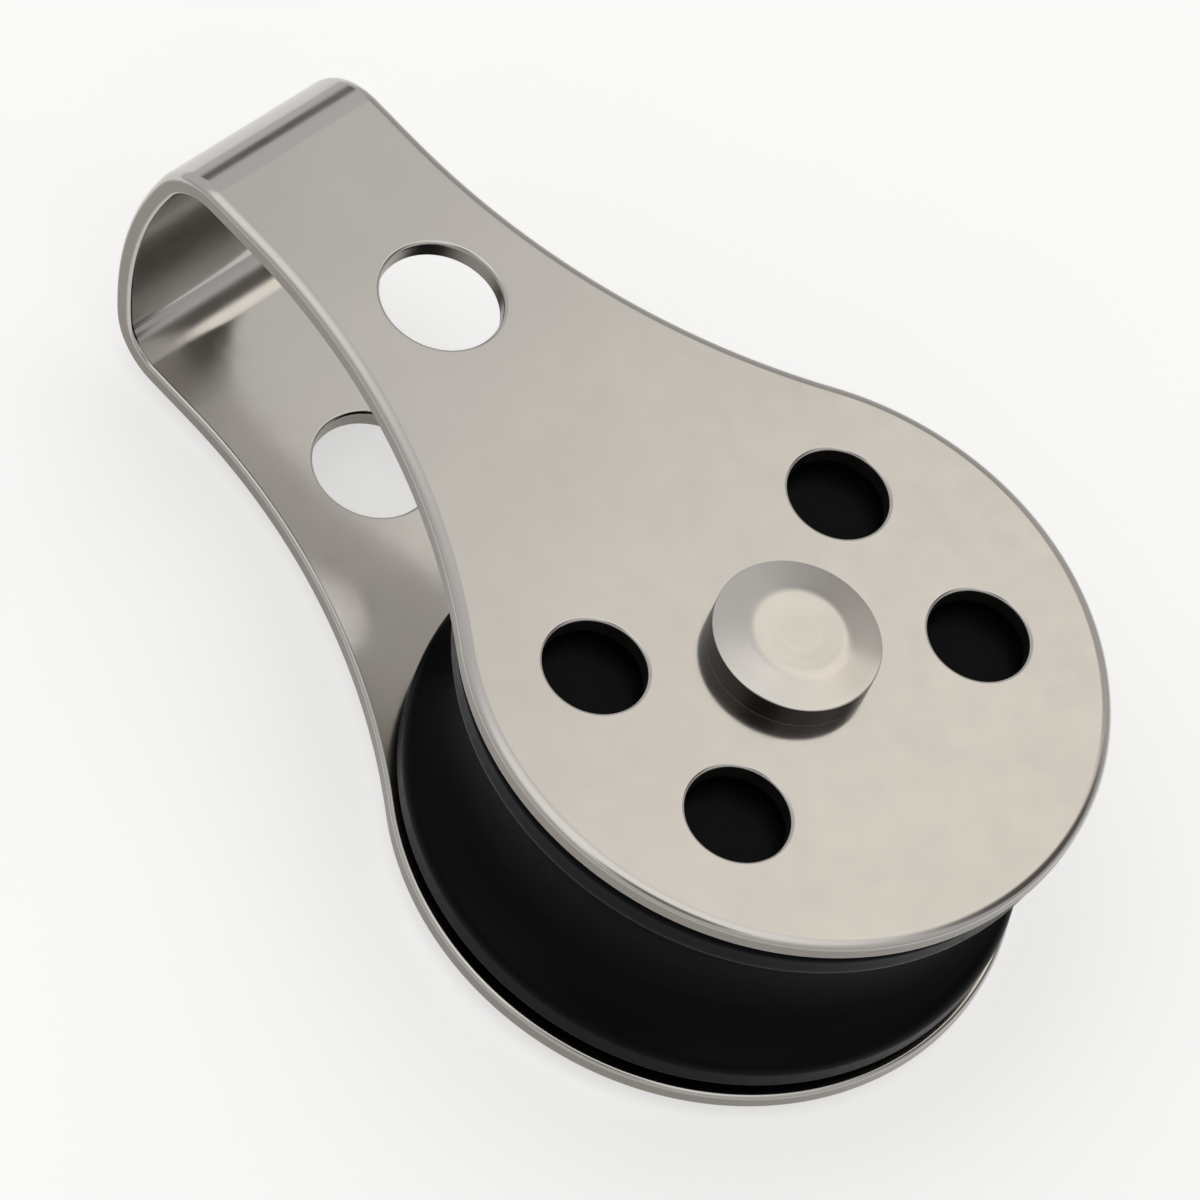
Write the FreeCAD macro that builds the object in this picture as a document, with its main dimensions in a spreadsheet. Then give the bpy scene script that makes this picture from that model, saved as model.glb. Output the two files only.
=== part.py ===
import FreeCAD, Part
import math
import os
import Sketcher

# Small pulley block. A U-shaped strap, folded from one sheet, holds a grooved sheave between its two
# round cheeks. The sheave spins on a spacer tube, and one rivet holds strap and tube together.
#
# Millimetres. Z runs along the axle, out of the cheek with the rivet's head. Y runs from the axle to the
# fold of the strap, and X across. The origin is on the axle's axis, on the flat end of the rivet's tail,
# which is the surface that the block lies on. Each piece is drawn about the middle of the block's width
# and then lifted to its place.

SIZES = {
    # Strap: the sheet and the outline that it is cut to
    "sheet_thickness": 0.9,
    "cheek_diameter": 26.0,
    "cheek_gap": 11.1,
    "neck_width": 9.0,
    "flank_radius": 31.0,
    "edge_break": 0.3,
    # Strap: the fold, seen from the side
    "fold_reach": 31.85,
    "fold_corner_radius": 2.9,
    "fold_crown_radius": 14.0,
    # Strap: holes through both cheeks
    "head_hole_diameter": 5.0,
    "head_hole_distance": 19.8,
    "light_hole_diameter": 4.1,
    "light_hole_circle": 15.8,
    "light_hole_angle": 60.0,
    "hole_break": 0.15,
    # Axle: rivet and spacer tube
    "shank_diameter": 4.0,
    "rivet_clearance": 0.05,
    "rivet_head_diameter": 6.75,
    "rivet_head_height": 1.35,
    "rivet_head_slope": 0.25,
    "rivet_head_break": 0.15,
    "rivet_dish_diameter": 3.9,
    "rivet_dish_depth": 0.1,
    "tail_diameter": 6.0,
    "tail_height": 0.8,
    "tail_break": 0.3,
    "tube_diameter": 6.0,
    # Sheave
    "rim_inset": 0.25,
    "running_clearance": 0.08,
    "side_clearance": 0.4,
    "hub_diameter": 9.5,
    "hub_rise": 0.2,
    "flange_width": 1.35,
    "groove_depth": 2.5,
    "flange_break": 0.3,
    "groove_break": 0.3,
}

# How far a cutting outline runs past the material that it cuts
CUT_MARGIN = 1.0

# The largest share of the sheet's thickness that one broken edge may take
BREAK_SHARE = 0.45

# How near two lengths are to count as the same one
SAME = 1e-4

doc = FreeCAD.newDocument("PulleyBlock")
sheet = doc.addObject("Spreadsheet::Sheet", "Sizes")


def fill_sheet():
    """Writes the driving sizes into the sheet, one row each, and names their cells."""
    for row, (name, value) in enumerate(SIZES.items(), start=1):
        sheet.set(f"A{row}", name)
        sheet.set(f"B{row}", str(value))
        sheet.setAlias(f"B{row}", name)
    doc.recompute()


def value_of(expression):
    """The number that an expression on the sheet gives now."""
    return float(sheet.evalExpression(expression))


# Lengths that more than one piece is built to, written once as expressions on the sheet
HALF_GAP = "Sizes.cheek_gap / 2"
HALF_BLOCK = f"({HALF_GAP} + Sizes.sheet_thickness)"
CHEEK_RADIUS = "Sizes.cheek_diameter / 2"
RIVET_HOLE_RADIUS = "(Sizes.shank_diameter / 2 + Sizes.rivet_clearance)"
RIM_HALF_WIDTH = f"({HALF_GAP} - Sizes.side_clearance)"
GROOVE_HALF_WIDTH = f"({RIM_HALF_WIDTH} - Sizes.flange_width)"


class Drawing:
    """A sketch on one of a body's own planes, with sizes that follow the sheet."""

    def __init__(self, body, plane_role, name):
        self.sketch = body.newObject("Sketcher::SketchObject", name)
        plane = next(item for item in body.Origin.OriginFeatures if item.Role == plane_role)
        self.sketch.AttachmentSupport = [(plane, "")]
        self.sketch.MapMode = "FlatFace"

    def line(self, start, end):
        segment = Part.LineSegment(FreeCAD.Vector(*start), FreeCAD.Vector(*end))
        return self.sketch.addGeometry(segment, False)

    def circle(self, centre, radius):
        circle = Part.Circle(FreeCAD.Vector(*centre), FreeCAD.Vector(0, 0, 1), radius)
        return self.sketch.addGeometry(circle, False)

    def arc(self, centre, radius, first_angle, last_angle):
        """A counter-clockwise arc between two angles in radians."""
        circle = Part.Circle(FreeCAD.Vector(*centre), FreeCAD.Vector(0, 0, 1), radius)
        return self.sketch.addGeometry(Part.ArcOfCircle(circle, first_angle, last_angle), False)

    def tie(self, kind, *where):
        self.sketch.addConstraint(Sketcher.Constraint(kind, *where))

    def drive(self, name, expression, kind, *where):
        """A dimension that takes its value from the sheet."""
        index = self.sketch.addConstraint(Sketcher.Constraint(kind, *where, value_of(expression)))
        self.sketch.renameConstraint(index, name)
        self.sketch.setExpression("Constraints." + name, expression)

    def place(self, name, geometry, point, x_expression, y_expression):
        """Holds a point of the geometry at two distances from the sketch's origin."""
        for suffix, expression, kind, axis in (
            ("_x", x_expression, "DistanceX", -2),
            ("_y", y_expression, "DistanceY", -1),
        ):
            if value_of(expression) == 0:
                self.tie("PointOnObject", geometry, point, axis)
            else:
                self.drive(name + suffix, expression, kind, -1, 1, geometry, point)

    def outline(self, corners):
        """Closed run of lines through named corners, each given by two expressions."""
        points = [(value_of(x), value_of(y), 0) for _, x, y in corners]
        sides = [self.line(points[i], points[(i + 1) % len(points)]) for i in range(len(points))]
        for i, side in enumerate(sides):
            self.tie("Coincident", side, 2, sides[(i + 1) % len(sides)], 1)
            self.place(corners[i][0], side, 1, corners[i][1], corners[i][2])
        return sides


def new_body(name):
    """A body that stands at the middle of the block's width."""
    body = doc.addObject("PartDesign::Body", name)
    body.Label = name
    body.setExpression("Placement.Base.z", f"Sizes.tail_height + {HALF_BLOCK}")
    return body


def pad_both_ways(body, name, drawing, length):
    """Thickens a sketch by the same amount to each side of its plane."""
    pad = body.newObject("PartDesign::Pad", name)
    pad.Profile = drawing.sketch
    pad.SideType = "Symmetric"
    pad.setExpression("Length", length)
    doc.recompute()
    return pad


def cut_through(body, name, drawing):
    """Cuts a sketch through everything on both sides of its plane."""
    volume_before = body.Shape.Volume
    pocket = body.newObject("PartDesign::Pocket", name)
    pocket.Profile = drawing.sketch
    pocket.Type = "ThroughAll"
    pocket.SideType = "Symmetric"
    doc.recompute()
    if body.Shape.Volume >= volume_before:
        raise RuntimeError(f"{name} cuts nothing")
    return pocket


def revolve(body, name, drawing):
    """Turns a half section about the axle's axis."""
    revolution = body.newObject("PartDesign::Revolution", name)
    revolution.Profile = drawing.sketch
    revolution.ReferenceAxis = (drawing.sketch, ["V_Axis"])
    revolution.Angle = 360
    doc.recompute()
    return revolution


def break_edges(body, name, base, chosen, size):
    """Takes the sharpness off the edges of the base feature that the chosen test picks."""
    names = [f"Edge{i}" for i, edge in enumerate(base.Shape.Edges, start=1) if chosen(edge)]
    chamfer = body.newObject("PartDesign::Chamfer", name)
    chamfer.Base = (base, names)
    chamfer.setExpression("Size", size)
    doc.recompute()
    return chamfer


def upright_radius(face):
    """Radius of a face that is a cylinder along the axle, 0 for a flat side face, else None."""
    surface = face.Surface
    if isinstance(surface, Part.Cylinder) and abs(surface.Axis.z) > 0.99:
        return surface.Radius
    if isinstance(surface, Part.Plane) and abs(surface.Axis.x) > 0.99:
        return 0
    return None


def edge_on_wall(base, wall_radii):
    """Test for edges where the sheet's surface meets a cut wall of one of some radii."""

    def is_wall(face):
        radius = upright_radius(face)
        return radius is not None and any(abs(radius - wall) < SAME for wall in wall_radii)

    def chosen(edge):
        walls = [is_wall(face) for face in base.Shape.ancestorsOfType(edge, Part.Face)]
        return walls.count(True) == 1

    return chosen


def ring_at(radius, *heights):
    """Test for the circular edges of a turned piece at a radius and one of some heights."""

    def chosen(edge):
        if edge.Degenerated or not isinstance(edge.Curve, Part.Circle):
            return False
        curve = edge.Curve
        on_radius = abs(curve.Radius - value_of(radius)) < SAME
        return on_radius and any(abs(curve.Center.z - value_of(z)) < SAME for z in heights)

    return chosen


def draw_fold(body):
    """Side view of the folded sheet: two flat cheeks joined by a crowned end."""
    drawing = Drawing(body, "YZ_Plane", "FoldProfile")
    outer = value_of(HALF_BLOCK)
    inner = value_of(HALF_GAP)
    thickness = SIZES["sheet_thickness"]
    corner = SIZES["fold_corner_radius"]
    crown = SIZES["fold_crown_radius"]
    crown_centre = SIZES["fold_reach"] - crown
    lean = math.asin((outer - corner) / (crown - corner))
    bend_start = crown_centre + (crown - corner) * math.cos(lean)
    front_centre = (bend_start, outer - corner, 0)
    back_centre = (bend_start, corner - outer, 0)
    open_end = -value_of(CHEEK_RADIUS) - CUT_MARGIN
    right_angle = math.pi / 2

    back_face = drawing.line((open_end, -outer, 0), (bend_start, -outer, 0))
    back_corner = drawing.arc(back_centre, corner, -right_angle, -lean)
    top = drawing.arc((crown_centre, 0, 0), crown, -lean, lean)
    front_corner = drawing.arc(front_centre, corner, lean, right_angle)
    front_face = drawing.line((bend_start, outer, 0), (open_end, outer, 0))
    front_end = drawing.line((open_end, outer, 0), (open_end, inner, 0))
    front_inside = drawing.line((open_end, inner, 0), (bend_start, inner, 0))
    front_inner_corner = drawing.arc(front_centre, corner - thickness, lean, right_angle)
    inner_top = drawing.arc((crown_centre, 0, 0), crown - thickness, -lean, lean)
    back_inner_corner = drawing.arc(back_centre, corner - thickness, -right_angle, -lean)
    back_inside = drawing.line((bend_start, -inner, 0), (open_end, -inner, 0))
    back_end = drawing.line((open_end, -inner, 0), (open_end, -outer, 0))

    for first, first_point, second, second_point in (
        (back_face, 2, back_corner, 1),
        (back_corner, 2, top, 1),
        (top, 2, front_corner, 1),
        (front_corner, 2, front_face, 1),
        (front_inside, 2, front_inner_corner, 2),
        (front_inner_corner, 1, inner_top, 2),
        (inner_top, 1, back_inner_corner, 2),
        (back_inner_corner, 1, back_inside, 1),
    ):
        drawing.tie("Tangent", first, first_point, second, second_point)
    for first, second in (
        (front_face, front_end),
        (front_end, front_inside),
        (back_inside, back_end),
        (back_end, back_face),
    ):
        drawing.tie("Coincident", first, 2, second, 1)
    for flat in (back_face, front_face, front_inside, back_inside):
        drawing.tie("Horizontal", flat)
    for end in (front_end, back_end):
        drawing.tie("Vertical", end)
    for inside, outside in (
        (front_inner_corner, front_corner),
        (inner_top, top),
        (back_inner_corner, back_corner),
    ):
        drawing.tie("Coincident", inside, 3, outside, 3)
    drawing.tie("PointOnObject", top, 3, -1)
    drawing.tie("Equal", back_corner, front_corner)

    drawing.drive("corner_radius", "Sizes.fold_corner_radius", "Radius", front_corner)
    drawing.drive("crown_radius", "Sizes.fold_crown_radius", "Radius", top)
    drawing.drive("back_height", HALF_BLOCK, "DistanceY", back_face, 1, -1, 1)
    drawing.drive("front_height", HALF_BLOCK, "DistanceY", -1, 1, front_face, 1)
    drawing.drive("thickness", "Sizes.sheet_thickness", "DistanceY", front_end, 2, front_end, 1)
    reach = "Sizes.fold_reach - Sizes.fold_crown_radius"
    drawing.drive("crown_centre", reach, "DistanceX", -1, 1, top, 3)
    cheek_end = f"{CHEEK_RADIUS} + {CUT_MARGIN}"
    drawing.drive("back_end", cheek_end, "DistanceX", back_face, 1, -1, 1)
    drawing.drive("front_end", cheek_end, "DistanceX", front_face, 2, -1, 1)
    return drawing


def draw_blank(body):
    """What is cut away around the strap: round cheeks, hollow flanks and a straight neck remain."""
    drawing = Drawing(body, "XY_Plane", "BlankOutline")
    cheek = value_of(CHEEK_RADIUS)
    neck = SIZES["neck_width"] / 2
    flank = SIZES["flank_radius"]
    flank_x = neck + flank
    flank_y = math.sqrt((cheek + flank) ** 2 - flank_x**2)
    lean = math.atan2(flank_y, flank_x)
    end = SIZES["fold_reach"] + CUT_MARGIN

    round_edge = drawing.arc((0, 0, 0), cheek, math.pi - lean, 2 * math.pi + lean)
    right_flank = drawing.arc((flank_x, flank_y, 0), flank, math.pi, math.pi + lean)
    left_flank = drawing.arc((-flank_x, flank_y, 0), flank, -lean, 0)
    right_side = drawing.line((neck, flank_y, 0), (neck, end, 0))
    cap = drawing.line((neck, end, 0), (-neck, end, 0))
    left_side = drawing.line((-neck, end, 0), (-neck, flank_y, 0))

    drawing.tie("Tangent", round_edge, 2, right_flank, 2)
    drawing.tie("Tangent", right_flank, 1, right_side, 1)
    drawing.tie("Coincident", right_side, 2, cap, 1)
    drawing.tie("Coincident", cap, 2, left_side, 1)
    drawing.tie("Tangent", left_side, 2, left_flank, 2)
    drawing.tie("Tangent", left_flank, 1, round_edge, 1)
    drawing.tie("Coincident", round_edge, 3, -1, 1)
    drawing.tie("Equal", right_flank, left_flank)
    drawing.tie("Vertical", right_side)
    drawing.tie("Vertical", left_side)
    drawing.tie("Horizontal", cap)
    drawing.drive("cheek_radius", CHEEK_RADIUS, "Radius", round_edge)
    drawing.drive("flank_radius", "Sizes.flank_radius", "Radius", right_flank)
    drawing.drive("neck_right", "Sizes.neck_width / 2", "DistanceX", -1, 1, right_side, 1)
    drawing.drive("neck_left", "Sizes.neck_width / 2", "DistanceX", left_side, 1, -1, 1)
    drawing.drive("neck_end", f"Sizes.fold_reach + {CUT_MARGIN}", "DistanceY", -1, 1, cap, 1)

    side = f"{CHEEK_RADIUS} + {CUT_MARGIN}"
    low = f"-({CHEEK_RADIUS} + 2 * {CUT_MARGIN})"
    high = f"Sizes.fold_reach + 2 * {CUT_MARGIN}"
    drawing.outline([
        ("low_left", f"-({side})", low),
        ("low_right", side, low),
        ("high_right", side, high),
        ("high_left", f"-({side})", high),
    ])
    return drawing


def draw_holes(body):
    """Holes through both cheeks: for the rivet, for the head pin, and four that save weight."""
    drawing = Drawing(body, "XY_Plane", "Holes")

    def hole(name, x, y, radius):
        circle = drawing.circle((value_of(x), value_of(y), 0), value_of(radius))
        drawing.place(name, circle, 3, x, y)
        drawing.drive(name + "_radius", radius, "Radius", circle)

    hole("rivet", "0", "0", RIVET_HOLE_RADIUS)
    hole("head_pin", "0", "Sizes.head_hole_distance", "Sizes.head_hole_diameter / 2")
    across = "Sizes.light_hole_circle / 2 * sin(Sizes.light_hole_angle)"
    along = "Sizes.light_hole_circle / 2 * cos(Sizes.light_hole_angle)"
    for name, x_sign, y_sign in (
        ("near_right", "", ""),
        ("near_left", "-", ""),
        ("far_left", "-", "-"),
        ("far_right", "", "-"),
    ):
        hole(name, x_sign + across, y_sign + along, "Sizes.light_hole_diameter / 2")
    return drawing


def make_strap():
    """Both cheeks, both necks and the fold between them, from one sheet."""
    body = new_body("strap")
    pad_both_ways(body, "FoldedSheet", draw_fold(body), "Sizes.cheek_diameter")
    cut_through(body, "Outline", draw_blank(body))
    holes = cut_through(body, "HolePattern", draw_holes(body))

    outline_radii = [0, value_of(CHEEK_RADIUS), SIZES["flank_radius"]]
    open_hole_radii = [SIZES["head_hole_diameter"] / 2, SIZES["light_hole_diameter"] / 2]
    limit = f"{BREAK_SHARE} * Sizes.sheet_thickness"
    rims = break_edges(
        body,
        "BrokenRims",
        holes,
        edge_on_wall(holes, outline_radii),
        f"min(Sizes.edge_break; {limit})",
    )
    break_edges(
        body,
        "BrokenHoles",
        rims,
        edge_on_wall(rims, open_hole_radii),
        f"min(Sizes.hole_break; {limit})",
    )
    return body


def make_sheave():
    """Moulded wheel with a round-bottomed rope groove between two flanges, and a hub just proud."""
    body = new_body("sheave")
    drawing = Drawing(body, "XZ_Plane", "HalfSection")
    rim = f"({CHEEK_RADIUS} - Sizes.rim_inset)"
    bore = "Sizes.tube_diameter / 2 + Sizes.running_clearance"
    hub = "Sizes.hub_diameter / 2"
    hub_half = f"({RIM_HALF_WIDTH} + Sizes.hub_rise)"
    sides = drawing.outline([
        ("back_groove", rim, f"-{GROOVE_HALF_WIDTH}"),
        ("front_groove", rim, GROOVE_HALF_WIDTH),
        ("front_rim", rim, RIM_HALF_WIDTH),
        ("front_step", hub, RIM_HALF_WIDTH),
        ("front_hub", hub, hub_half),
        ("front_bore", bore, hub_half),
        ("back_bore", bore, f"-{hub_half}"),
        ("back_hub", hub, f"-{hub_half}"),
        ("back_step", hub, f"-{RIM_HALF_WIDTH}"),
        ("back_rim", rim, f"-{RIM_HALF_WIDTH}"),
    ])
    drawing.sketch.toggleConstruction(sides[0])
    radius = f"({GROOVE_HALF_WIDTH} ^ 2 + Sizes.groove_depth ^ 2) / (2 * Sizes.groove_depth)"
    groove_radius = value_of(radius)
    groove_centre = value_of(rim) - SIZES["groove_depth"] + groove_radius
    spread = math.atan2(value_of(GROOVE_HALF_WIDTH), groove_radius - SIZES["groove_depth"])
    groove = drawing.arc((groove_centre, 0, 0), groove_radius, math.pi - spread, math.pi + spread)
    drawing.tie("Coincident", groove, 1, sides[0], 2)
    drawing.tie("Coincident", groove, 2, sides[0], 1)
    drawing.drive("groove_radius", radius, "Radius", groove)

    wheel = revolve(body, "Wheel", drawing)
    flanges = break_edges(
        body,
        "BrokenFlanges",
        wheel,
        ring_at(rim, RIM_HALF_WIDTH, f"-{RIM_HALF_WIDTH}"),
        "Sizes.flange_break",
    )
    break_edges(
        body,
        "BrokenGroove",
        flanges,
        ring_at(rim, GROOVE_HALF_WIDTH, f"-{GROOVE_HALF_WIDTH}"),
        "Sizes.groove_break",
    )
    return body


def make_axle_tube():
    """Spacer between the cheeks, which takes the rivet's squeeze and carries the sheave."""
    body = new_body("axle_tube")
    drawing = Drawing(body, "XY_Plane", "TubeSection")
    for name, radius in (("bore", RIVET_HOLE_RADIUS), ("outside", "Sizes.tube_diameter / 2")):
        circle = drawing.circle((0, 0, 0), value_of(radius))
        drawing.tie("Coincident", circle, 3, -1, 1)
        drawing.drive(name, radius, "Radius", circle)
    pad_both_ways(body, "Tube", drawing, "Sizes.cheek_gap")
    return body


def make_axle_rivet():
    """Head with a dished middle and a sloping rim, shank through cheeks and tube, and a pressed tail."""
    body = new_body("axle_rivet")
    drawing = Drawing(body, "XZ_Plane", "HalfSection")
    shank = "Sizes.shank_diameter / 2"
    head = "Sizes.rivet_head_diameter / 2"
    dish = "Sizes.rivet_dish_diameter / 2"
    tail = "Sizes.tail_diameter / 2"
    head_top = f"({HALF_BLOCK} + Sizes.rivet_head_height)"
    head_rim = f"({head_top} - Sizes.rivet_head_slope)"
    dish_bottom = f"{head_top} - Sizes.rivet_dish_depth"
    tail_end = f"-({HALF_BLOCK} + Sizes.tail_height)"
    sides = drawing.outline([
        ("dish_edge", dish, head_top),
        ("dish_bottom", "0", dish_bottom),
        ("tail_middle", "0", tail_end),
        ("tail_rim", tail, tail_end),
        ("tail_seat", tail, f"-{HALF_BLOCK}"),
        ("shank_back", shank, f"-{HALF_BLOCK}"),
        ("shank_front", shank, HALF_BLOCK),
        ("head_seat", head, HALF_BLOCK),
        ("head_rim", head, head_rim),
    ])
    drawing.sketch.toggleConstruction(sides[0])
    depth = SIZES["rivet_dish_depth"]
    half_width = value_of(dish)
    curve_radius = (half_width**2 + depth**2) / (2 * depth)
    curve_centre = value_of(dish_bottom) + curve_radius
    spread = math.asin(half_width / curve_radius)
    bottom = 3 * math.pi / 2
    curve = drawing.arc((0, curve_centre, 0), curve_radius, bottom, bottom + spread)
    drawing.tie("Coincident", curve, 1, sides[0], 2)
    drawing.tie("Coincident", curve, 2, sides[0], 1)
    drawing.tie("PointOnObject", curve, 3, -2)

    turned = revolve(body, "Turned", drawing)
    top = break_edges(
        body, "BrokenHead", turned, ring_at(head, head_rim), "Sizes.rivet_head_break"
    )
    break_edges(body, "BrokenTail", top, ring_at(tail, tail_end), "Sizes.tail_break")
    return body


def check(parts):
    """Stops unless every object was computed and every piece is one valid solid."""
    for item in doc.Objects:
        if "Invalid" in item.State or "Error" in item.State:
            raise RuntimeError(f"{item.Label} failed")
    for part in parts:
        shape = part.Shape
        if shape.isNull() or not shape.isValid() or len(shape.Solids) != 1:
            raise RuntimeError(f"{part.Label} is not one valid solid")


fill_sheet()
PARTS = [make_strap(), make_sheave(), make_axle_tube(), make_axle_rivet()]
doc.recompute()
check(PARTS)
os.makedirs("parts", exist_ok=True)
for part in PARTS:
    part.Shape.exportStep(f"parts/{part.Label}.step")
    print(part.Label, round(part.Shape.Volume, 3), part.Shape.BoundBox)
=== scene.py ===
import math

import bpy
from mathutils import Matrix, Vector
from mathutils.geometry import delaunay_2d_cdt


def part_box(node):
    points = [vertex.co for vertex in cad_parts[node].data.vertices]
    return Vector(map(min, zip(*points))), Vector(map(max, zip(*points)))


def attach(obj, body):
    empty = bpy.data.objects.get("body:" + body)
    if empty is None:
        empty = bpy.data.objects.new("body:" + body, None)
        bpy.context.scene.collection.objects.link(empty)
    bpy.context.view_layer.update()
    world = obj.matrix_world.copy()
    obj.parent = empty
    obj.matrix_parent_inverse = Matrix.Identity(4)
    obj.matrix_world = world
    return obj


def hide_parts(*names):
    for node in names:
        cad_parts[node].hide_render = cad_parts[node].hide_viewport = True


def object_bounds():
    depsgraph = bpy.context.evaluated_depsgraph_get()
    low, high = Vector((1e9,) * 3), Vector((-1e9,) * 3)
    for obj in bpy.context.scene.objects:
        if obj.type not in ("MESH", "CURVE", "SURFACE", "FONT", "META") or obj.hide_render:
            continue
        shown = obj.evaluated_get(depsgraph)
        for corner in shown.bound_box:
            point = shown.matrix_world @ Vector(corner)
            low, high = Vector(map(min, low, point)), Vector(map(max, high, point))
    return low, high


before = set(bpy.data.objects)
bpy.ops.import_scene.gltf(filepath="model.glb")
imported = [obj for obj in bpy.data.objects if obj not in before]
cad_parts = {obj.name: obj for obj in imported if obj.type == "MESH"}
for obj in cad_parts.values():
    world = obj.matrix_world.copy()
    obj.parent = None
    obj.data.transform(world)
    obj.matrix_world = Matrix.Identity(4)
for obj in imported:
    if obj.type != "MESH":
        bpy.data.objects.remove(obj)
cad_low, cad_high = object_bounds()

# A small pulley block of polished stainless sheet with a black sheave, lying on a pale floor.
# Metres. Z runs along the axle, Y towards the fold of the strap, X across.

# Sizes read from the frame
strap_low, strap_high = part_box("strap")
tube_low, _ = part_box("axle_tube")
sheave_low, sheave_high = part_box("sheave")
rivet_low, rivet_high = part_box("axle_rivet")
CHEEK_RADIUS = (strap_high.x - strap_low.x) / 2
FOLD_REACH = strap_high.y
BACK_FACE = strap_low.z
FRONT_FACE = strap_high.z
MIDDLE = (BACK_FACE + FRONT_FACE) / 2
THICKNESS = tube_low.z - strap_low.z
HALF_BLOCK = (FRONT_FACE - BACK_FACE) / 2

# Strap outline, fold and holes
NECK_WIDTH = 0.0090
FLANK_RADIUS = 0.0310
FOLD_CORNER_RADIUS = 0.0029
FOLD_CROWN_RADIUS = 0.0140
# Width and depth of the rounding of each edge
OUTER_ROUNDING = (0.00050, 0.00030)
INNER_ROUNDING = (0.00020, 0.00020)
HOLE_ROUNDING = (0.00016, 0.00016)
HEAD_HOLE_RADIUS = 0.0025
HEAD_HOLE_DISTANCE = 0.0198
LIGHT_HOLE_RADIUS = 0.00205
LIGHT_HOLE_CIRCLE = 0.0079
LIGHT_HOLE_ANGLE = math.radians(60)
RIVET_HOLE_RADIUS = 0.00205

# Sheave and rivet sections
RIM_HALF_WIDTH = 0.00515
HUB_RADIUS = 0.00475
BORE_RADIUS = 0.00308
GROOVE_DEPTH = 0.0025
GROOVE_RADIUS = 0.0042
GROOVE_LIP_ROUNDING = 0.0006
FLANGE_ROUNDING = 0.0003
SMALL_ROUNDING = 0.00008
SHANK_RADIUS = 0.0020
TAIL_RADIUS = 0.0030
HEAD_SLOPE = 0.00025
HEAD_ROUNDING = 0.00006
DISH_RADIUS = 0.00195
DISH_DEPTH = 0.000015
SEAT_ROUNDING = 0.00001
TAIL_ROUNDING = 0.00035
# Bending radius where the head's slope turns into the dish, and at the bottom of the dish
CREST_ROUNDING = 0.0026
DISH_ROUNDING = 0.02

# Name of the share of cut edge at each point of a steel piece, where painted shade darkens the colour
# and the finish is duller, and how soon it fades on a rounding
CUT_SHADE_SHARE = "cut_shade_share"
CUT_FADE = 0.15

# How finely curves are divided
RING_STEPS = 256
CHEEK_STEPS = 96
FLANK_STEPS = 28
CORNER_STEPS = 16
CROWN_STEPS = 24
HOLE_STEPS = 96
ROUNDING_STEPS = 8


def mesh_piece(name, points, normals, faces, body, node, material):
    """A smooth mesh that stands for a CAD node, with its true surface normals."""
    mesh = bpy.data.meshes.new(name)
    mesh.from_pydata(points, [], faces)
    mesh.validate()
    mesh.polygons.foreach_set("use_smooth", [True] * len(mesh.polygons))
    mesh.normals_split_custom_set_from_vertices(normals)
    mesh.update()
    piece = bpy.data.objects.new(name, mesh)
    bpy.context.scene.collection.objects.link(piece)
    piece.data.materials.append(material)
    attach(piece, body)
    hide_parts(node)
    return piece


def cut_shade_part(sideways):
    """Share of cut edge, painted darker as shade, where the normal has this sideways part."""
    return max(0, 1 - (1 - sideways) / CUT_FADE)


def mark_cut_shade(piece, shares):
    """Keeps the share of cut edge of every point with the mesh, which the materials use for painted
    shade and a duller finish.
    """
    share = piece.data.attributes.new(CUT_SHADE_SHARE, "FLOAT", "POINT")
    share.data.foreach_set("value", shares)


# Strap


class Fold:
    """Carries the flat blank onto the folded shape. Its u runs along the sheet's middle surface from
    the back cheek's axle hole, round the fold, to the front cheek's."""

    def __init__(self):
        offset = HALF_BLOCK - FOLD_CORNER_RADIUS
        lean = math.asin(offset / (FOLD_CROWN_RADIUS - FOLD_CORNER_RADIUS))
        crown_y = FOLD_REACH - FOLD_CROWN_RADIUS
        corner_y = crown_y + (FOLD_CROWN_RADIUS - FOLD_CORNER_RADIUS) * math.cos(lean)
        corner = FOLD_CORNER_RADIUS - THICKNESS / 2
        crown = FOLD_CROWN_RADIUS - THICKNESS / 2
        right_angle = math.pi / 2
        self.straight = corner_y
        # Centre, radius, first and last angle, and steps of each arc
        self.arcs = [
            ((corner_y, MIDDLE - offset), corner, -right_angle, -lean, CORNER_STEPS),
            ((crown_y, MIDDLE), crown, -lean, lean, CROWN_STEPS),
            ((corner_y, MIDDLE + offset), corner, lean, right_angle, CORNER_STEPS),
        ]
        self.length = 2 * corner_y + sum(r * (b - a) for _, r, a, b, _ in self.arcs)

    def stations(self):
        """The u of every line across the sheet that the fold needs."""
        u = self.straight
        lines = [u]
        for _, radius, first, last, steps in self.arcs:
            step = radius * (last - first) / steps
            lines += [u + step * (i + 1) for i in range(steps)]
            u += radius * (last - first)
        return lines

    def at(self, u):
        """Point of the middle surface in Y and Z, with the angle of its outward normal."""
        if u <= self.straight:
            return u, BACK_FACE + THICKNESS / 2, -math.pi / 2
        left = u - self.straight
        for (centre_y, centre_z), radius, first, last, _ in self.arcs:
            span = radius * (last - first)
            if left <= span:
                angle = first + left / radius
                y = centre_y + radius * math.cos(angle)
                return y, centre_z + radius * math.sin(angle), angle
            left -= span
        return self.straight - left, FRONT_FACE - THICKNESS / 2, math.pi / 2

    def place(self, x, u, depth, normal):
        """Point and normal on the folded sheet. Depth is measured outwards from the middle surface."""
        y, z, angle = self.at(u)
        outward = Vector((0, math.cos(angle), math.sin(angle)))
        along = Vector((0, -math.sin(angle), math.cos(angle)))
        point = Vector((x, y, z)) + outward * depth
        turned = Vector((normal[0], 0, 0)) + along * normal[1] + outward * normal[2]
        return point, turned


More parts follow.
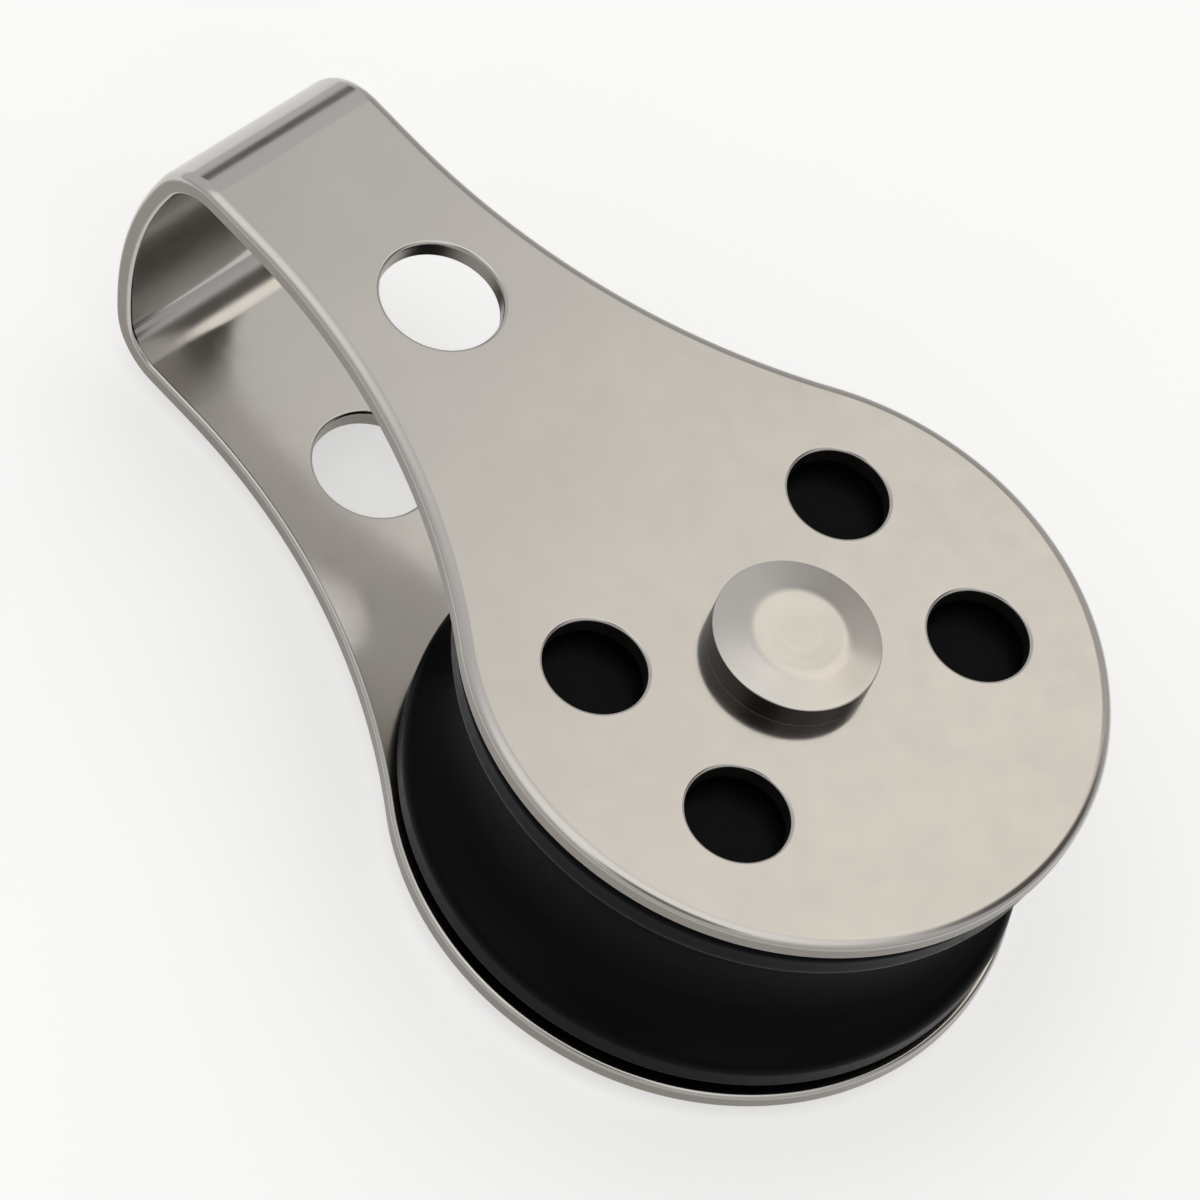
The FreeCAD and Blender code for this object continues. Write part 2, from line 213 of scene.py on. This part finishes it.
def cheek_outline():
    """Right edge of one flat cheek, from its bottom to the top of its hollow flank: x, u and the two
    parts of the normal that points out of the sheet."""
    flank_x = NECK_WIDTH / 2 + FLANK_RADIUS
    flank_u = math.sqrt((CHEEK_RADIUS + FLANK_RADIUS) ** 2 - flank_x**2)
    lean = math.atan2(flank_u, flank_x)
    rows = []
    for i in range(CHEEK_STEPS):
        angle = -math.pi / 2 + (lean + math.pi / 2) * i / CHEEK_STEPS
        c, s = math.cos(angle), math.sin(angle)
        rows.append((CHEEK_RADIUS * c, CHEEK_RADIUS * s, c, s))
    for i in range(FLANK_STEPS + 1):
        angle = lean * (1 - i / FLANK_STEPS)
        c, s = math.cos(angle), math.sin(angle)
        rows.append((flank_x - FLANK_RADIUS * c, flank_u - FLANK_RADIUS * s, c, s))
    return rows


def blank_outline(fold):
    """The whole edge of the flat blank, counter-clockwise, and the pairs of points that face each
    other across the fold."""
    back = cheek_outline()
    neck = [(NECK_WIDTH / 2, u, 1, 0) for u in fold.stations()]
    front = [(x, fold.length - u, nx, -nu) for x, u, nx, nu in reversed(back)]
    right = back + neck + front
    left = [(-x, u, -nx, nu) for x, u, nx, nu in reversed(right[1:-1])]
    loop = right + left
    across = [(i, len(loop) - i) for i in range(len(back), len(back) + len(neck))]
    return loop, across


def hole_loop(x, u, radius):
    """Edge of a hole, clockwise, with normals that point into the hole."""
    rows = []
    for i in range(HOLE_STEPS):
        angle = -2 * math.pi * i / HOLE_STEPS
        c, s = math.cos(angle), math.sin(angle)
        rows.append((x + radius * c, u + radius * s, -c, -s))
    return rows


def edge_section(outer, inner):
    """Section of a sheet edge, with an elliptical rounding at its outer face and one at its inner face:
    inset from the outline, depth from the middle surface, and the sideways and outward parts of the
    normal."""
    half = THICKNESS / 2
    rows = []
    for side, (width, depth) in ((1, outer), (-1, inner)):
        quarter = []
        for i in range(ROUNDING_STEPS + 1):
            angle = math.pi / 2 * i / ROUNDING_STEPS
            s, c = math.sin(angle), math.cos(angle)
            normal = Vector((s / width, c / depth)).normalized()
            inset = width * (1 - s)
            quarter.append((inset, side * (half - depth * (1 - c)), normal.x, side * normal.y))
        rows += quarter if side > 0 else reversed(quarter)
    return rows


def make_strap(material):
    """Both cheeks, necks and the fold: a flat blank with rounded edges, carried round the fold."""
    fold = Fold()
    outline, across = blank_outline(fold)
    loops = [(outline, OUTER_ROUNDING, INNER_ROUNDING)]
    for centre_u, sign in ((0, 1), (fold.length, -1)):
        head_u = centre_u + sign * HEAD_HOLE_DISTANCE
        holes = [(0, centre_u, RIVET_HOLE_RADIUS), (0, head_u, HEAD_HOLE_RADIUS)]
        for turn in (1, -1, 2, -2):
            angle = turn * LIGHT_HOLE_ANGLE
            x = LIGHT_HOLE_CIRCLE * math.sin(angle)
            u = centre_u + sign * LIGHT_HOLE_CIRCLE * math.cos(angle)
            holes.append((x, u, LIGHT_HOLE_RADIUS))
        loops += [(hole_loop(*hole), HOLE_ROUNDING, HOLE_ROUNDING) for hole in holes]

    points, normals, faces, cut_shade_share = [], [], [], []
    flat_points, flat_edges, outer_ids, inner_ids, loop_of = [], [], [], [], []
    for loop_number, (loop, outer, inner) in enumerate(loops):
        section = edge_section(outer, inner)
        start, count = len(points), len(loop)
        for x, u, nx, nu in loop:
            for inset, depth, sideways, outwards in section:
                normal = (nx * sideways, nu * sideways, outwards)
                point, turned = fold.place(x - nx * inset, u - nu * inset, depth, normal)
                points.append(point)
                normals.append(turned)
                # Share of cut edge, for the painted shade and the duller finish of the sides
                cut_shade_share.append(cut_shade_part(sideways))
        rows = len(section)
        for i in range(count):
            here, there = start + i * rows, start + (i + 1) % count * rows
            faces += [(here + k, there + k, there + k + 1, here + k + 1) for k in range(rows - 1)]
        flat_start = len(flat_points)
        flat_points += [(x - nx * outer[0], u - nu * outer[0]) for x, u, nx, nu in loop]
        flat_edges += [(flat_start + i, flat_start + (i + 1) % count) for i in range(count)]
        outer_ids += [start + i * rows for i in range(count)]
        inner_ids += [start + i * rows + rows - 1 for i in range(count)]
        loop_of += [loop_number] * count
    flat_edges += across

    # The flat faces are one triangulation of the blank between all its edges, used on both sides
    _, _, triangles, sources, _, _ = delaunay_2d_cdt(
        [Vector(p) for p in flat_points], flat_edges, [], 1, 1e-9
    )
    for corners in triangles:
        ids = [sources[i][0] for i in corners]
        loops_met = {loop_of[i] for i in ids}
        if len(loops_met) == 1 and 0 not in loops_met:
            continue
        faces.append(tuple(outer_ids[i] for i in reversed(ids)))
        faces.append(tuple(inner_ids[i] for i in ids))
    piece = mesh_piece(
        "strap_sheet", points, normals, faces, "block", "strap", material
    )
    mark_cut_shade(piece, cut_shade_share)


# Turned pieces


def rounded_section(corners):
    """Section through rounded corners, each radius, height, rounding and steps, with true normals to
    the right of the direction of travel. The first and last corners are left out."""
    rows = []
    for i in range(1, len(corners) - 1):
        before, here, after = (Vector(corners[j][:2]) for j in (i - 1, i, i + 1))
        rounding, steps = corners[i][2:]
        inwards = (here - before).normalized()
        outwards = (after - here).normalized()
        turn = math.atan2(inwards.x * outwards.y - inwards.y * outwards.x, inwards.dot(outwards))
        side = 1 if turn > 0 else -1
        first_normal = Vector((inwards.y, -inwards.x))
        start = here - inwards * rounding * math.tan(abs(turn) / 2)
        centre = start - first_normal * rounding * side
        for k in range(steps + 1):
            angle = turn * k / steps
            c, s = math.cos(angle), math.sin(angle)
            normal_r = first_normal.x * c - first_normal.y * s
            normal_z = first_normal.x * s + first_normal.y * c
            normal = Vector((normal_r, normal_z))
            rows.append((*(centre + normal * rounding * side), *normal))
    return rows


def arc_section(centre, radius, first, last, steps, outward):
    """Arc of a section about a centre in radius and height. Outward is 1 where the normal points away
    from the centre and -1 where it points towards it."""
    rows = []
    for i in range(steps + 1):
        angle = first + (last - first) * i / steps
        c, s = math.cos(angle), math.sin(angle)
        rows.append((centre[0] + radius * c, centre[1] + radius * s, outward * c, outward * s))
    return rows


def lathe(section, closed):
    """Points, normals and faces of a section of (radius, height, normal parts) turned about Z. An open
    section starts and ends on the axis."""
    points, normals, faces = [], [], []
    ends = [] if closed else [section[0], section[-1]]
    rings = section if closed else section[1:-1]
    for radius, height, normal_r, normal_z in rings:
        for i in range(RING_STEPS):
            angle = 2 * math.pi * i / RING_STEPS
            c, s = math.cos(angle), math.sin(angle)
            points.append((radius * c, radius * s, height))
            normals.append((normal_r * c, normal_r * s, normal_z))
    count = len(rings)
    for k in range(count if closed else count - 1):
        low, high = k * RING_STEPS, (k + 1) % count * RING_STEPS
        for i in range(RING_STEPS):
            j = (i + 1) % RING_STEPS
            faces.append((low + i, low + j, high + j, high + i))
    for end, ring, below in zip(ends, (0, count - 1), (True, False)):
        tip = len(points)
        points.append((0, 0, end[1]))
        normals.append((0, 0, end[3]))
        for i in range(RING_STEPS):
            here, there = ring * RING_STEPS + i, ring * RING_STEPS + (i + 1) % RING_STEPS
            faces.append((tip, there, here) if below else (tip, here, there))
    return points, normals, faces


def make_sheave(material):
    """Grooved wheel: flat sides, a hub just proud of them, and rounded lips on the rope groove."""
    rim = sheave_high.x
    hub_half = (sheave_high.z - sheave_low.z) / 2
    groove_centre = rim - GROOVE_DEPTH + GROOVE_RADIUS
    lip_centre_r = rim - GROOVE_LIP_ROUNDING
    lip_reach = GROOVE_RADIUS + GROOVE_LIP_ROUNDING
    lip_z = math.sqrt(lip_reach**2 - (groove_centre - lip_centre_r) ** 2)
    lip_angle = math.atan2(lip_z, lip_centre_r - groove_centre)

    # From the bore at the back, out over the back flange, round the groove and back to the bore
    front = rounded_section([
        (rim, 0, 0, 0),
        (rim, RIM_HALF_WIDTH, FLANGE_ROUNDING, ROUNDING_STEPS),
        (HUB_RADIUS, RIM_HALF_WIDTH, SMALL_ROUNDING, ROUNDING_STEPS),
        (HUB_RADIUS, hub_half, SMALL_ROUNDING, ROUNDING_STEPS),
        (BORE_RADIUS, hub_half, 2 * SMALL_ROUNDING, ROUNDING_STEPS),
        (BORE_RADIUS, 0, 0, 0),
    ])
    lip = arc_section(
        (lip_centre_r, lip_z), GROOVE_LIP_ROUNDING, lip_angle - math.pi, 0, ROUNDING_STEPS * 2, 1
    )
    groove = arc_section(
        (groove_centre, 0), GROOVE_RADIUS, 2 * math.pi - lip_angle, lip_angle, CROWN_STEPS * 2, -1
    )
    upper = lip[1:] + front
    lower = [(r, -z, nr, -nz) for r, z, nr, nz in reversed(upper)]
    section = groove + upper + lower
    section = [(r, z + MIDDLE, nr, nz) for r, z, nr, nz in section]
    points, normals, faces = lathe(section, True)
    mesh_piece("sheave_wheel", points, normals, faces, "sheave", "sheave", material)


def make_rivet(material):
    """Head that rises gently from its rim to a faintly dished top, shank, and a pressed tail."""
    head = rivet_high.x
    top = rivet_high.z
    section = rounded_section([
        (0, rivet_low.z, 0, 0),
        (TAIL_RADIUS, rivet_low.z, TAIL_ROUNDING, ROUNDING_STEPS),
        (TAIL_RADIUS, BACK_FACE, SMALL_ROUNDING, ROUNDING_STEPS),
        (SHANK_RADIUS, BACK_FACE, SMALL_ROUNDING, ROUNDING_STEPS),
        (SHANK_RADIUS, FRONT_FACE, SMALL_ROUNDING, ROUNDING_STEPS),
        (head, FRONT_FACE, SEAT_ROUNDING, ROUNDING_STEPS),
        (head, top - HEAD_SLOPE, HEAD_ROUNDING, ROUNDING_STEPS),
        (DISH_RADIUS, top, CREST_ROUNDING, ROUNDING_STEPS),
        (DISH_RADIUS / 2, top - DISH_DEPTH, DISH_ROUNDING, ROUNDING_STEPS),
        (0, top - DISH_DEPTH, 0, 0),
    ])
    first = (0, rivet_low.z, 0, -1)
    last = (0, top - DISH_DEPTH, 0, 1)
    points, normals, faces = lathe([first] + section + [last], False)
    piece = mesh_piece(
        "rivet_turned", points, normals, faces, "block", "axle_rivet", material
    )
    # The sideways share marks where painted shade darkens the head's wall, the shank and the tail's
    # sides
    mark_cut_shade(piece, [cut_shade_part(math.hypot(*normal[:2])) for normal in normals])


# Materials

# Darkest and lightest base colour of each material, and the colour of painted shade on cut or pressed
# sides
SHEET_COLOURS = ((0.55, 0.532, 0.508), (0.575, 0.555, 0.53))
# Painted shade: the sheet's cut edges are darkened to stand for their dark reflections
SHEET_CUT_SHADE_COLOUR = (0.27, 0.248, 0.226)
RIVET_COLOURS = ((0.61, 0.585, 0.55), (0.64, 0.615, 0.58))
# Painted shade: the rivet's sides near black, standing for the dark surroundings they mirror
RIVET_SIDE_SHADE_COLOUR = (0.030, 0.026, 0.023)
TUBE_COLOURS = ((0.50, 0.50, 0.49), (0.58, 0.58, 0.57))
NYLON_COLOURS = ((0.0020, 0.0023, 0.0030), (0.0032, 0.0036, 0.0044))
FLOOR_COLOURS = ((0.68, 0.68, 0.68), (0.70, 0.70, 0.70))

# Lowest and highest roughness, and what cut or pressed sides add to it
SHEET_ROUGHNESS = (0.13, 0.18)
SHEET_CUT_DULLNESS = 0.15
RIVET_ROUGHNESS = (0.15, 0.21)
RIVET_SIDE_DULLNESS = 0.1
TUBE_ROUGHNESS = (0.28, 0.40)
NYLON_ROUGHNESS = (0.28, 0.38)
FLOOR_ROUGHNESS = 0.9

# Shine of the two surfaces that aren't metal, and how much the floor glows to camera and mirrors
NYLON_SPECULAR = 0.06
FLOOR_SPECULAR = 0.1
FLOOR_GLOW = 0.48

# Depth of each relief
POLISH_WAVE_DEPTH = 0.000002
RIVET_RING_DEPTH = 0.0000003
NYLON_RING_DEPTH = 0.00001


def node_material(name):
    """An empty node material with its shader and output."""
    material = bpy.data.materials.new(name)
    material.use_nodes = True
    tree = material.node_tree
    tree.nodes.clear()
    output = tree.nodes.new("ShaderNodeOutputMaterial")
    shader = tree.nodes.new("ShaderNodeBsdfPrincipled")
    tree.links.new(shader.outputs["BSDF"], output.inputs["Surface"])
    return material, tree, shader


def object_noise(tree, scale, detail, stretch=(1, 1, 1)):
    """Noise fixed to the object, with features of about one over the scale in metres."""
    place = tree.nodes.new("ShaderNodeTexCoord")
    mapping = tree.nodes.new("ShaderNodeMapping")
    mapping.inputs["Scale"].default_value = stretch
    noise = tree.nodes.new("ShaderNodeTexNoise")
    noise.inputs["Scale"].default_value = scale
    noise.inputs["Detail"].default_value = detail
    tree.links.new(place.outputs["Object"], mapping.inputs["Vector"])
    tree.links.new(mapping.outputs["Vector"], noise.inputs["Vector"])
    return noise.outputs["Fac"]


def blend_colours(tree, factor, low, high, start=0.3, end=0.7):
    """Colour that runs from low to high as the factor goes from start to end."""
    ramp = tree.nodes.new("ShaderNodeValToRGB")
    ramp.color_ramp.elements[0].position = start
    ramp.color_ramp.elements[1].position = end
    ramp.color_ramp.elements[0].color = (*low, 1)
    ramp.color_ramp.elements[1].color = (*high, 1)
    tree.links.new(factor, ramp.inputs["Fac"])
    return ramp.outputs["Color"]


def blend_values(tree, factor, low, high, start=0.3, end=0.7):
    """Number that runs from low to high as the factor goes from start to end."""
    spread = tree.nodes.new("ShaderNodeMapRange")
    spread.inputs["From Min"].default_value = start
    spread.inputs["From Max"].default_value = end
    spread.inputs["To Min"].default_value = low
    spread.inputs["To Max"].default_value = high
    tree.links.new(factor, spread.inputs["Value"])
    return spread.outputs["Result"]


def add_bump(tree, shader, height, distance):
    """Bumps the shader's normal by a height field, with its full depth in metres."""
    bump = tree.nodes.new("ShaderNodeBump")
    bump.inputs["Strength"].default_value = 1
    bump.inputs["Distance"].default_value = distance
    tree.links.new(height, bump.inputs["Height"])
    tree.links.new(bump.outputs["Normal"], shader.inputs["Normal"])


def ring_noise(tree, scale, detail):
    """Noise that depends on the distance from the axle and the height alone, like turning marks."""
    place = tree.nodes.new("ShaderNodeTexCoord")
    split = tree.nodes.new("ShaderNodeSeparateXYZ")
    tree.links.new(place.outputs["Object"], split.inputs["Vector"])
    flat = tree.nodes.new("ShaderNodeCombineXYZ")
    tree.links.new(split.outputs["X"], flat.inputs["X"])
    tree.links.new(split.outputs["Y"], flat.inputs["Y"])
    length = tree.nodes.new("ShaderNodeVectorMath")
    length.operation = "LENGTH"
    tree.links.new(flat.outputs["Vector"], length.inputs[0])
    section = tree.nodes.new("ShaderNodeCombineXYZ")
    tree.links.new(length.outputs["Value"], section.inputs["X"])
    tree.links.new(split.outputs["Z"], section.inputs["Y"])
    noise = tree.nodes.new("ShaderNodeTexNoise")
    noise.inputs["Scale"].default_value = scale
    noise.inputs["Detail"].default_value = detail
    tree.links.new(section.outputs["Vector"], noise.inputs["Vector"])
    return noise.outputs["Fac"]


def finish_steel(tree, shader, colour, cut_shade_colour, roughness, cut_dullness):
    """Steel with its face colour and roughness, duller where it was cut, and painted darker there as
    shade.
    """
    share = tree.nodes.new("ShaderNodeAttribute")
    share.attribute_name = CUT_SHADE_SHARE
    # Mixes the painted shade colour into the sides by their share of cut edge
    mix = tree.nodes.new("ShaderNodeMix")
    mix.data_type = "RGBA"
    tree.links.new(share.outputs["Fac"], mix.inputs["Factor"])
    tree.links.new(colour, mix.inputs["A"])
    mix.inputs["B"].default_value = (*cut_shade_colour, 1)
    tree.links.new(mix.outputs["Result"], shader.inputs["Base Color"])
    dull = tree.nodes.new("ShaderNodeMath")
    dull.operation = "MULTIPLY_ADD"
    dull.inputs[1].default_value = cut_dullness
    tree.links.new(share.outputs["Fac"], dull.inputs[0])
    tree.links.new(roughness, dull.inputs[2])
    tree.links.new(dull.outputs["Value"], shader.inputs["Roughness"])
    shader.inputs["Metallic"].default_value = 1


def polished_sheet():
    """Tumble-polished stainless sheet: smooth, with the faint waviness that the polish leaves, and
    duller on its cut edges, which also carry painted shade."""
    material, tree, shader = node_material("polished_sheet")
    broad = object_noise(tree, scale=160, detail=3)
    colour = blend_colours(tree, broad, *SHEET_COLOURS)
    fine = object_noise(tree, scale=900, detail=4)
    polish = blend_values(tree, fine, *SHEET_ROUGHNESS)
    finish_steel(tree, shader, colour, SHEET_CUT_SHADE_COLOUR, polish, SHEET_CUT_DULLNESS)
    add_bump(tree, shader, object_noise(tree, scale=420, detail=2), POLISH_WAVE_DEPTH)
    return material


def rivet_steel():
    """Pressed rivet: a little lighter and warmer than the sheet, with very faint rings from the tool on
    its head, and sides painted near black as shade, and duller."""
    material, tree, shader = node_material("rivet_steel")
    broad = object_noise(tree, scale=500, detail=2)
    colour = blend_colours(tree, broad, *RIVET_COLOURS)
    rings = ring_noise(tree, scale=1500, detail=2)
    roughness = blend_values(tree, rings, *RIVET_ROUGHNESS)
    finish_steel(tree, shader, colour, RIVET_SIDE_SHADE_COLOUR, roughness, RIVET_SIDE_DULLNESS)
    add_bump(tree, shader, rings, RIVET_RING_DEPTH)
    return material


def tube_steel():
    """Drawn steel tube, seen only between sheave and cheeks."""
    material, tree, shader = node_material("tube_steel")
    drawn = object_noise(tree, scale=700, detail=3, stretch=(1, 1, 0.1))
    colour = blend_colours(tree, drawn, *TUBE_COLOURS)
    tree.links.new(colour, shader.inputs["Base Color"])
    roughness = blend_values(tree, drawn, *TUBE_ROUGHNESS)
    tree.links.new(roughness, shader.inputs["Roughness"])
    shader.inputs["Metallic"].default_value = 1
    return material


def black_nylon():
    """Satin black plastic with faint turning rings."""
    material, tree, shader = node_material("black_nylon")
    rings = ring_noise(tree, scale=1800, detail=3)
    colour = blend_colours(tree, rings, *NYLON_COLOURS)
    tree.links.new(colour, shader.inputs["Base Color"])
    grain = object_noise(tree, scale=2500, detail=3)
    roughness = blend_values(tree, grain, *NYLON_ROUGHNESS)
    tree.links.new(roughness, shader.inputs["Roughness"])
    shader.inputs["Specular IOR Level"].default_value = NYLON_SPECULAR
    add_bump(tree, shader, rings, NYLON_RING_DEPTH)
    return material


def dress_node(name, material):
    """Gives a CAD node that stays its material."""
    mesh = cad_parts[name].data
    mesh.materials.clear()
    mesh.materials.append(material)


# Stage: floor, light and camera

# Half the floor's width, and its gap under the block
FLOOR_HALF = 1.5
FLOOR_GAP = 0.00002

# Colour of the dome at its edge and top, and the upward part of the direction where the top is reached
DOME_EDGE = (0.48, 0.475, 0.47)
DOME_TOP = (0.70, 0.70, 0.69)
DOME_TOP_HEIGHT = 0.9
# Soft patches over the dome: direction, inner and outer angle in degrees, colour
DOME_PATCHES = [
    ((-0.22, 0.00, 0.98), 14.5, 44, (1.17, 1.15, 1.12)),
    ((0.60, 0.01, 0.80), 9, 20.5, (1.21, 1.15, 1.06)),
    ((0.78, 0.12, 0.61), 8, 14, (0.54, 0.51, 0.49)),
    ((0.75, 0.36, 0.56), 6, 14, (0.40, 0.385, 0.37)),
    ((0.26, 0.88, 0.40), 24, 49, (0.65, 0.65, 0.65)),
    ((0.54, 0.75, 0.39), 4, 9, (0.14, 0.14, 0.14)),
    ((0.62, -0.42, 0.66), 9, 24, (0.12, 0.11, 0.10)),
    ((-0.53, -0.24, 0.81), 7, 21, (0.20, 0.185, 0.17)),
]

# Camera fitted to the photograph: film width and lens in millimetres, its place from the axle at the
# front cheek's face, the directions of its right, up and back, and how near and far it sees
FILM_WIDTH = 36
LENS = 186.19
CAMERA_PLACE = (-0.13088, -0.05142, 0.19096)
CAMERA_RIGHT = (0.691668, -0.676052, 0.254066)
CAMERA_UP = (0.485218, 0.695556, 0.529872)
CAMERA_BACK = (-0.534938, -0.243218, 0.809127)
CAMERA_NEAR = 0.01
CAMERA_FAR = 10


def make_floor():
    """Pale floor under the block. To camera and mirrors it shines a little, so that it reads white."""
    material, tree, shader = node_material("floor_white")
    speckle = object_noise(tree, scale=30, detail=2)
    colour = blend_colours(tree, speckle, *FLOOR_COLOURS)
    tree.links.new(colour, shader.inputs["Base Color"])
    shader.inputs["Roughness"].default_value = FLOOR_ROUGHNESS
    shader.inputs["Specular IOR Level"].default_value = FLOOR_SPECULAR
    shader.inputs["Emission Color"].default_value = (1, 1, 1, 1)
    path = tree.nodes.new("ShaderNodeLightPath")
    seen = path.outputs["Is Camera Ray"]
    for ray in ("Is Glossy Ray", "Is Transmission Ray"):
        add = tree.nodes.new("ShaderNodeMath")
        add.operation = "MAXIMUM"
        tree.links.new(seen, add.inputs[0])
        tree.links.new(path.outputs[ray], add.inputs[1])
        seen = add.outputs["Value"]
    glow = tree.nodes.new("ShaderNodeMath")
    glow.operation = "MULTIPLY"
    glow.inputs[1].default_value = FLOOR_GLOW
    tree.links.new(seen, glow.inputs[0])
    tree.links.new(glow.outputs["Value"], shader.inputs["Emission Strength"])
    mesh = bpy.data.meshes.new("floor")
    signs = ((-1, -1), (1, -1), (1, 1), (-1, 1))
    corners = [(x * FLOOR_HALF, y * FLOOR_HALF, 0) for x, y in signs]
    mesh.from_pydata(corners, [], [(0, 1, 2, 3)])
    floor = bpy.data.objects.new("floor", mesh)
    floor.location.z = cad_low.z - FLOOR_GAP
    floor.data.materials.append(material)
    bpy.context.scene.collection.objects.link(floor)


def make_world():
    """Soft studio dome: a plain base with large soft patches over it, one after another."""
    world = bpy.data.worlds.new("studio")
    bpy.context.scene.world = world
    world.use_nodes = True
    tree = world.node_tree
    tree.nodes.clear()
    output = tree.nodes.new("ShaderNodeOutputWorld")
    background = tree.nodes.new("ShaderNodeBackground")
    place = tree.nodes.new("ShaderNodeTexCoord")
    split = tree.nodes.new("ShaderNodeSeparateXYZ")
    tree.links.new(place.outputs["Generated"], split.inputs["Vector"])
    colour = blend_colours(tree, split.outputs["Z"], DOME_EDGE, DOME_TOP, 0, DOME_TOP_HEIGHT)
    for direction, inner, outer, patch in DOME_PATCHES:
        aim = tree.nodes.new("ShaderNodeVectorMath")
        aim.operation = "DOT_PRODUCT"
        aim.inputs[1].default_value = Vector(direction).normalized()
        tree.links.new(place.outputs["Generated"], aim.inputs[0])
        spread = tree.nodes.new("ShaderNodeMapRange")
        spread.interpolation_type = "SMOOTHSTEP"
        spread.inputs["From Min"].default_value = math.cos(math.radians(outer))
        spread.inputs["From Max"].default_value = math.cos(math.radians(inner))
        tree.links.new(aim.outputs["Value"], spread.inputs["Value"])
        mix = tree.nodes.new("ShaderNodeMix")
        mix.data_type = "RGBA"
        tree.links.new(spread.outputs["Result"], mix.inputs["Factor"])
        tree.links.new(colour, mix.inputs["A"])
        mix.inputs["B"].default_value = (*patch, 1)
        colour = mix.outputs["Result"]
    tree.links.new(colour, background.inputs["Color"])
    background.inputs["Strength"].default_value = 1
    tree.links.new(background.outputs["Background"], output.inputs["Surface"])


def make_camera():
    """The photograph's view: from the left, 54 degrees above the cheek, and rolled."""
    data = bpy.data.cameras.new("photo_camera")
    data.sensor_width = FILM_WIDTH
    data.lens = LENS
    data.clip_start = CAMERA_NEAR
    data.clip_end = CAMERA_FAR
    camera = bpy.data.objects.new("photo_camera", data)
    place = Vector(CAMERA_PLACE) + Vector((0, 0, FRONT_FACE))
    turn = Matrix((CAMERA_RIGHT, CAMERA_UP, CAMERA_BACK)).transposed().to_4x4()
    camera.matrix_world = Matrix.Translation(place) @ turn
    bpy.context.scene.collection.objects.link(camera)
    bpy.context.scene.camera = camera


make_strap(polished_sheet())
make_sheave(black_nylon())
make_rivet(rivet_steel())
dress_node("axle_tube", tube_steel())

make_floor()
make_world()
make_camera()
bpy.context.scene.view_settings.view_transform = "Standard"
